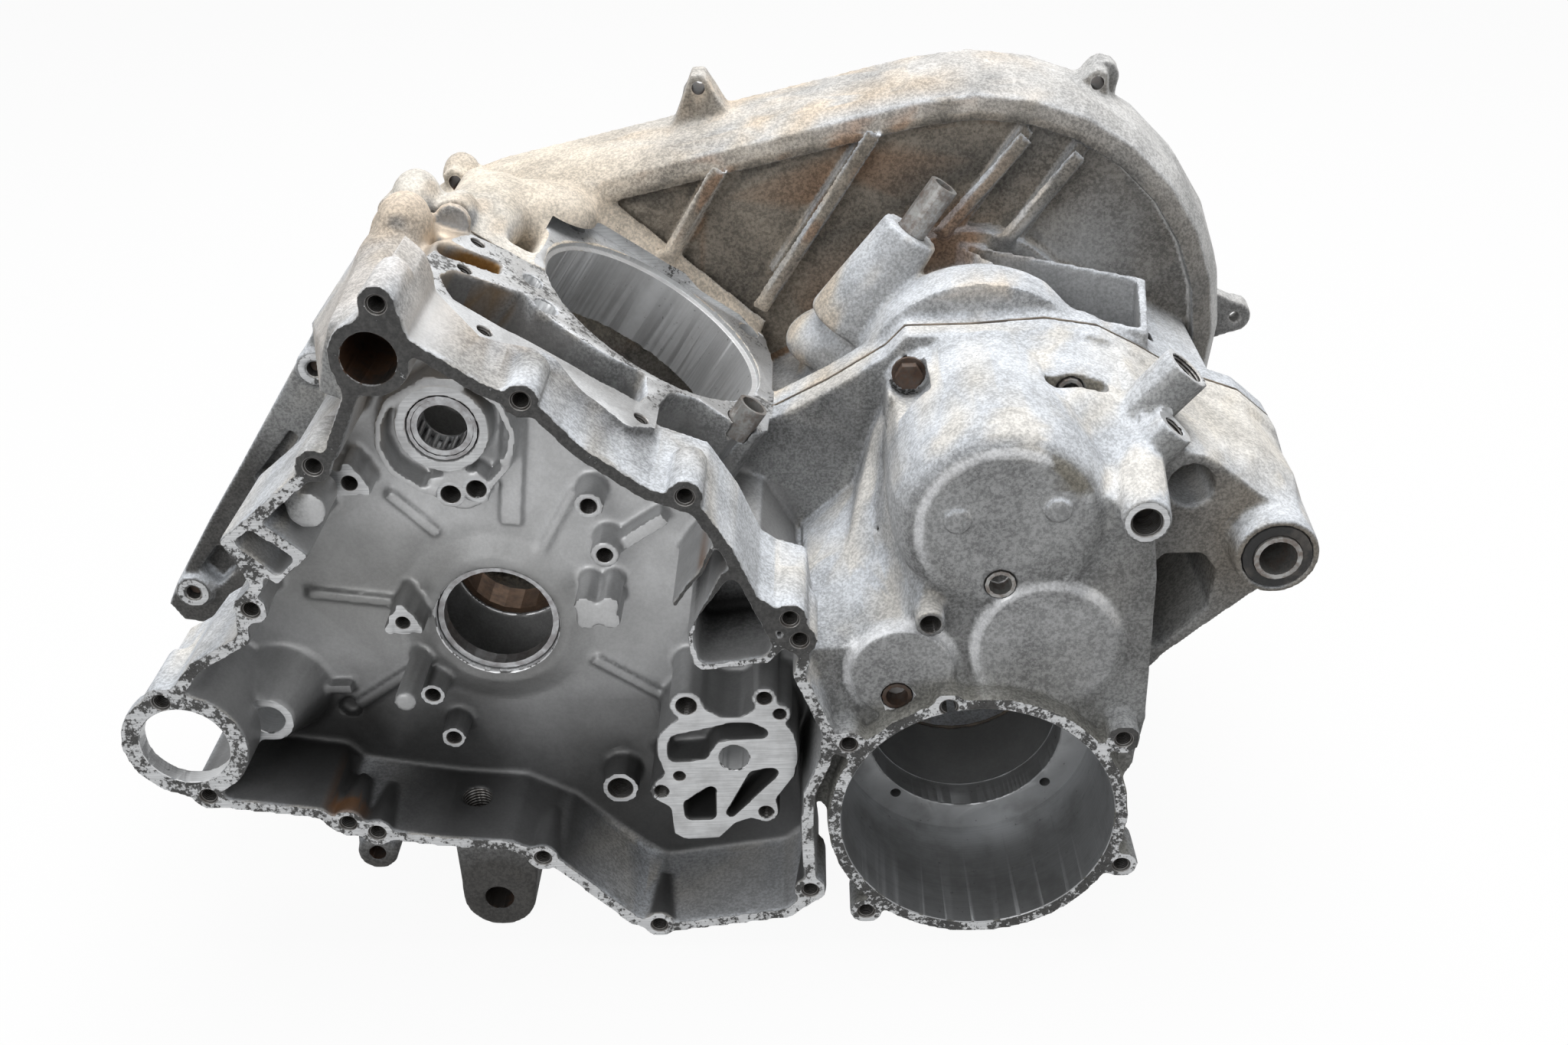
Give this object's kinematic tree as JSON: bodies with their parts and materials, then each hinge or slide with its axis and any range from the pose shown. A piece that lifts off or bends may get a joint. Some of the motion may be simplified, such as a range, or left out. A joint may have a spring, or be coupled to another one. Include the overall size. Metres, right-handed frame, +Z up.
{
  "type": "engine crankcase",
  "caption": "Cast two-half crankcase of a single-cylinder engine with generator room, tilted cylinder deck, gear housing, output flange and belt housing back plate.",
  "frame": {"origin": "centre of the bounding box at the plane it rests on", "axes": "+Z up, the crank axis along Y, the generator cover face towards -Y, the gear housing and mount ear towards +X"},
  "size_m": [0.523, 0.25, 0.324],
  "materials": {
    "cast_aluminium": "sand and die cast, dusty and oxidised, bare metal on machined faces",
    "machined_steel": "ground steel with a film of oil",
    "rusty_steel": "bolt steel with brown rust",
    "bearing_bronze": "worn bearing bronze",
    "gasket": "dark compressed gasket sheet",
    "mount_rubber": "matt black rubber with dust"
  },
  "bodies": {
    "root": {"balancer_bearing_cage": "machined_steel", "balancer_bearing_right": "machined_steel", "balancer_bearing_shell": "machined_steel", "breather_tube": "machined_steel", "case_bolt_1": "rusty_steel", "case_bolt_2": "rusty_steel", "case_bolt_3": "rusty_steel", "case_bolt_4": "rusty_steel", "case_bolt_5": "rusty_steel", "case_bolt_6": "rusty_steel", "case_bolt_top": "rusty_steel", "case_dowel_left": "machined_steel", "case_dowel_right": "machined_steel", "case_gasket": "gasket", "crank_seal_ring": "machined_steel", "crankcase_left": "cast_aluminium", "crankcase_right": "cast_aluminium", "cylinder_dowel_front": "machined_steel", "driven_shaft_bearing_race": "machined_steel", "lower_shaft_bush": "rusty_steel", "main_bush_left": "bearing_bronze", "main_bush_right": "bearing_bronze", "rear_mount_bush_rubber": "mount_rubber", "rear_mount_bush_sleeve": "rusty_steel", "shift_shaft_bush": "rusty_steel", "top_bolt_sleeve": "machined_steel"}
  },
  "joints": []
}
